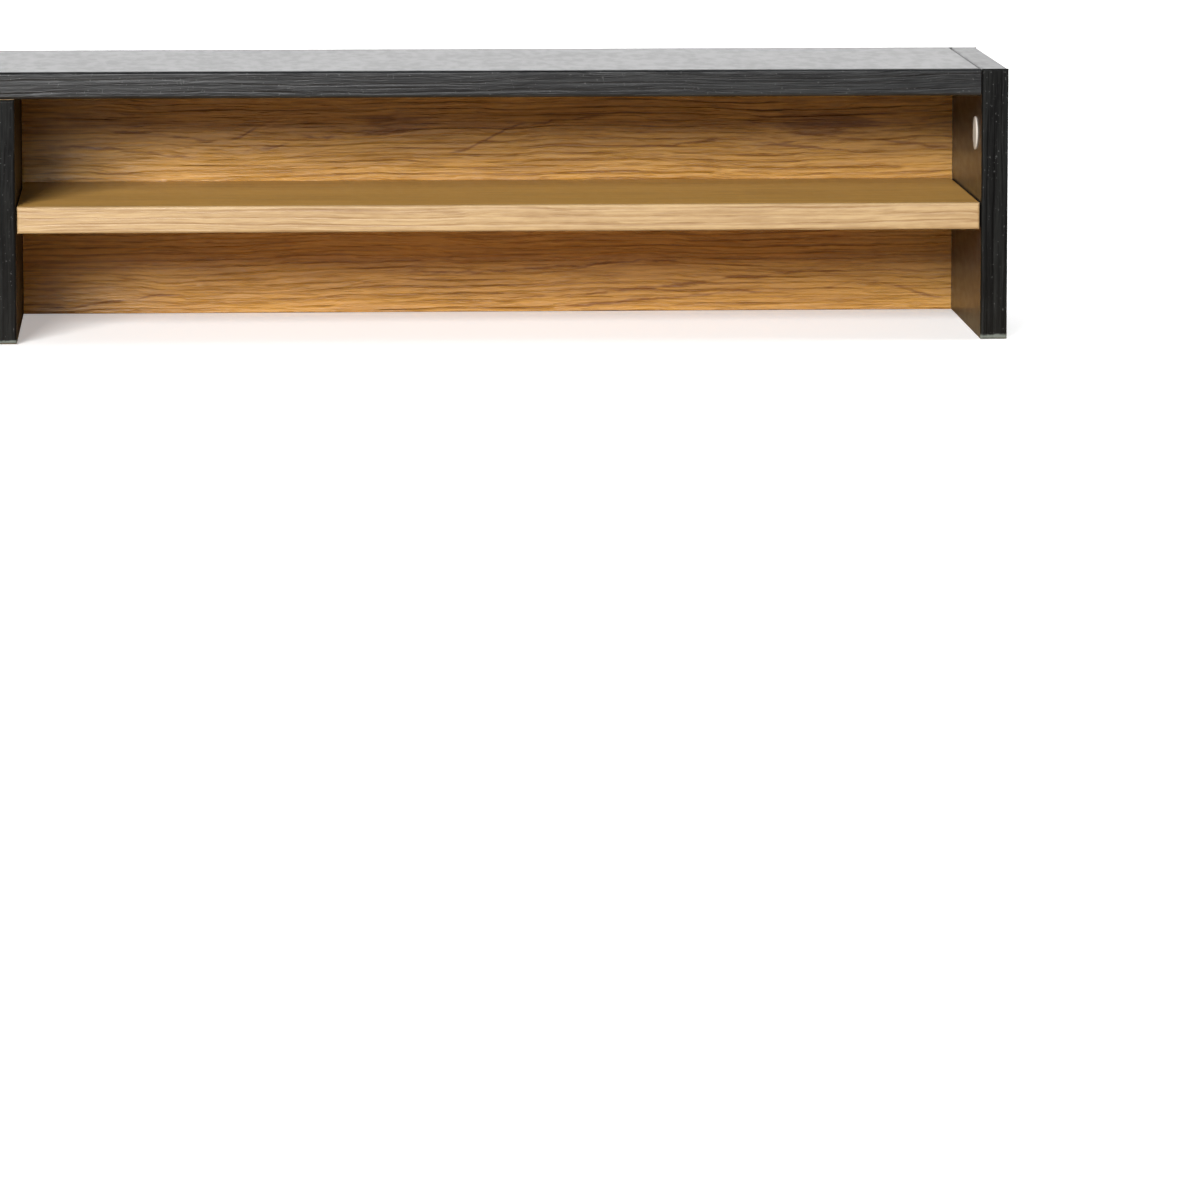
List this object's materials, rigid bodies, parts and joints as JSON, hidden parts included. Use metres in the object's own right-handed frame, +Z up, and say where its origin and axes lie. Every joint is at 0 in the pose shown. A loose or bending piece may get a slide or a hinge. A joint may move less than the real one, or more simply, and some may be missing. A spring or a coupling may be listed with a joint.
{
  "type": "desk hutch",
  "caption": "Low wide desk hutch: two open bays side by side, each with a fixed shelf, between black woodgrain end panels and a black top, with light oak shelves and back panel.",
  "frame": {"origin": "middle of the footprint, on the surface the hutch stands on", "axes": "+X to the right seen from the front, +Y to the rear, +Z up"},
  "size_m": [1.2, 0.192, 0.162],
  "materials": {
    "black_board": "black woodgrain melamine on chipboard",
    "black_edge_band": "black woodgrain plastic edge band",
    "oak_board": "light oak woodgrain melamine on chipboard",
    "oak_edge_band": "light oak plastic edge band",
    "cap_plastic": "light grey-beige plastic",
    "cam_zinc": "die-cast zinc",
    "fitting_steel": "zinc-plated steel",
    "dowel_beech": "fluted beech",
    "insert_brass": "brass"
  },
  "bodies": {
    "root": {"end_panel_left": "black_board", "end_panel_right": "black_board", "top_board": "black_board", "centre_divider": "black_board", "end_panel_left_front_band": "black_edge_band", "end_panel_left_top_band": "black_edge_band", "end_panel_left_rear_band": "black_edge_band", "end_panel_right_front_band": "black_edge_band", "end_panel_right_top_band": "black_edge_band", "end_panel_right_rear_band": "black_edge_band", "top_board_front_band": "black_edge_band", "top_board_rear_band": "black_edge_band", "divider_front_band": "black_edge_band", "back_panel": "oak_board", "shelf_left": "oak_board", "shelf_right": "oak_board", "shelf_left_front_band": "oak_edge_band", "shelf_right_front_band": "oak_edge_band", "top_board_cam_caps": "cap_plastic", "shelf_left_cam_caps": "cap_plastic", "shelf_right_cam_caps": "cap_plastic", "divider_cam_caps": "cap_plastic", "link_bore_cap_left": "cap_plastic", "link_bore_cap_right": "cap_plastic", "top_board_cams": "cam_zinc", "shelf_left_cams": "cam_zinc", "shelf_right_cams": "cam_zinc", "divider_cams": "cam_zinc", "back_panel_cams": "cam_zinc", "top_board_cam_bolts": "fitting_steel", "shelf_cam_bolts": "fitting_steel", "back_panel_cam_bolts": "fitting_steel", "divider_cam_bolts": "fitting_steel", "divider_through_bolts": "fitting_steel", "back_panel_screws": "fitting_steel", "top_board_dowels": "dowel_beech", "shelf_dowels": "dowel_beech", "back_panel_dowels": "dowel_beech", "divider_dowel": "dowel_beech", "divider_through_dowel": "dowel_beech", "desk_fixing_inserts": "insert_brass"}
  },
  "joints": []
}
